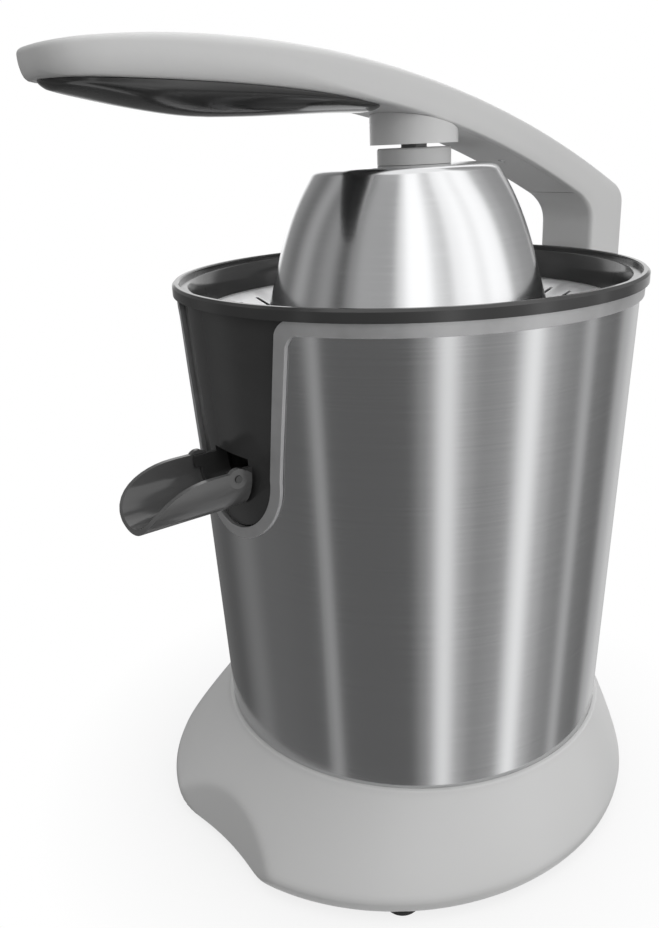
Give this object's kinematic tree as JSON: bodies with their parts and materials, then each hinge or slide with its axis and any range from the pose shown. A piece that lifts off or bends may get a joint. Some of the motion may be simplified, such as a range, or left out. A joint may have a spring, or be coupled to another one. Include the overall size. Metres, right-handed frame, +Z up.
{
  "type": "lever citrus juicer",
  "caption": "Electric citrus juicer with a long press lever, a domed press cup, a bowl in a tapered steel casing, a drip-stop spout and a broad skirted base.",
  "frame": {"origin": "below the middle of the bounding box, at the surface that the feet stand on; the juicer's upright axis stands 10.8 mm behind it", "axes": "+Z up; -Y towards the spout and the lever's grip; +Y towards the lever's hinge; +X to the right seen from the spout's side"},
  "size_m": [0.217, 0.2864, 0.33],
  "materials": {
    "white_plastic": "satin moulded plastic",
    "black_plastic": "polished moulded plastic",
    "smoke_plastic": "polished smoke-coloured plastic",
    "grey_trim": "satin grey",
    "light_grey_plastic": "satin moulded plastic",
    "dark_plastic": "matt moulded plastic",
    "gear_plastic": "bare gear plastic",
    "brushed_steel": "brushed sheet",
    "polished_steel": "polished",
    "plain_steel": "turned or zinc coated",
    "core_steel": "varnished laminations",
    "winding": "varnished copper wire",
    "bush_bronze": "sintered bronze",
    "rubber": "matt"
  },
  "bodies": {
    "housing": {"base_housing": "white_plastic", "base_plate": "dark_plastic", "rubber_feet": "rubber", "base_screws": "plain_steel", "cord_gland": "rubber", "steel_casing": "brushed_steel", "casing_trim": "grey_trim", "chassis_frame": "light_grey_plastic", "gear_case": "light_grey_plastic", "chassis_screws": "plain_steel", "stator_core": "core_steel", "stator_windings": "winding", "motor_bracket": "plain_steel", "motor_screws": "plain_steel", "shaft_bushes": "bush_bronze", "idler_axle": "plain_steel", "return_spring": "plain_steel", "switch_body": "dark_plastic", "juice_bowl": "black_plastic", "shaft_seal": "rubber", "strainer": "polished_steel", "hinge_bracket": "white_plastic", "backing_plate": "plain_steel", "bracket_screws": "plain_steel", "hinge_pin": "plain_steel"},
    "lever": {"lever_arm": "white_plastic", "lever_cover": "white_plastic", "grip_insert": "black_plastic", "press_boss": "white_plastic", "lever_screws": "plain_steel", "dome_pin": "plain_steel"},
    "dome": {"dome_hub": "light_grey_plastic", "dome_shell": "polished_steel", "dome_liner": "black_plastic", "dome_nut": "plain_steel"},
    "slow_gear": {"output_gear": "gear_plastic"},
    "cone": {"drive_shaft": "plain_steel", "reamer_cone": "black_plastic"},
    "idler": {"idler_gear": "gear_plastic"},
    "rotor": {"motor_rotor": "core_steel"},
    "plunger": {"switch_plunger": "dark_plastic"},
    "spout": {"drip_spout": "smoke_plastic"}
  },
  "joints": [
    {"name": "lever_hinge", "type": "hinge", "parent": "housing", "child": "lever", "pos_m": [0, 0.1305, 0.217], "axis": [-1, 0, 0], "range_deg": [0, 70]},
    {"name": "dome_tilt", "type": "hinge", "parent": "lever", "child": "dome", "pos_m": [0, 0.0163, 0.2974], "axis": [1, 0, 0], "range_deg": [-4, 4]},
    {"name": "rotor_spin", "type": "hinge", "parent": "housing", "child": "rotor", "pos_m": [0, 0.0283, 0.065], "axis": [0, 0, 1], "continuous": true},
    {"name": "idler_spin", "type": "hinge", "parent": "housing", "child": "idler", "pos_m": [0, 0.0558, 0.11], "axis": [0, 0, 1], "continuous": true},
    {"name": "gear_spin", "type": "hinge", "parent": "housing", "child": "slow_gear", "pos_m": [0, 0.0108, 0.115], "axis": [0, 0, 1], "continuous": true},
    {"name": "cone_press", "type": "slide", "parent": "slow_gear", "child": "cone", "axis": [0, 0, -1], "range_m": [0, 0.003], "stiffness_N_per_m": 2500, "springref_m": -0.003, "deforming": ["return_spring"]},
    {"name": "plunger_press", "type": "slide", "parent": "housing", "child": "plunger", "axis": [0, 0, -1], "range_m": [0, 0.003]},
    {"name": "spout_tilt", "type": "hinge", "parent": "housing", "child": "spout", "pos_m": [0, -0.0902, 0.177], "axis": [-1, 0, 0], "range_deg": [0, 25]}
  ],
  "couplings": [
    {"joint": "idler_spin", "follows": "rotor_spin", "ratio": -0.25},
    {"joint": "gear_spin", "follows": "rotor_spin", "ratio": 0.0625},
    {"joint": "plunger_press", "follows": "cone_press", "ratio": 1}
  ]
}
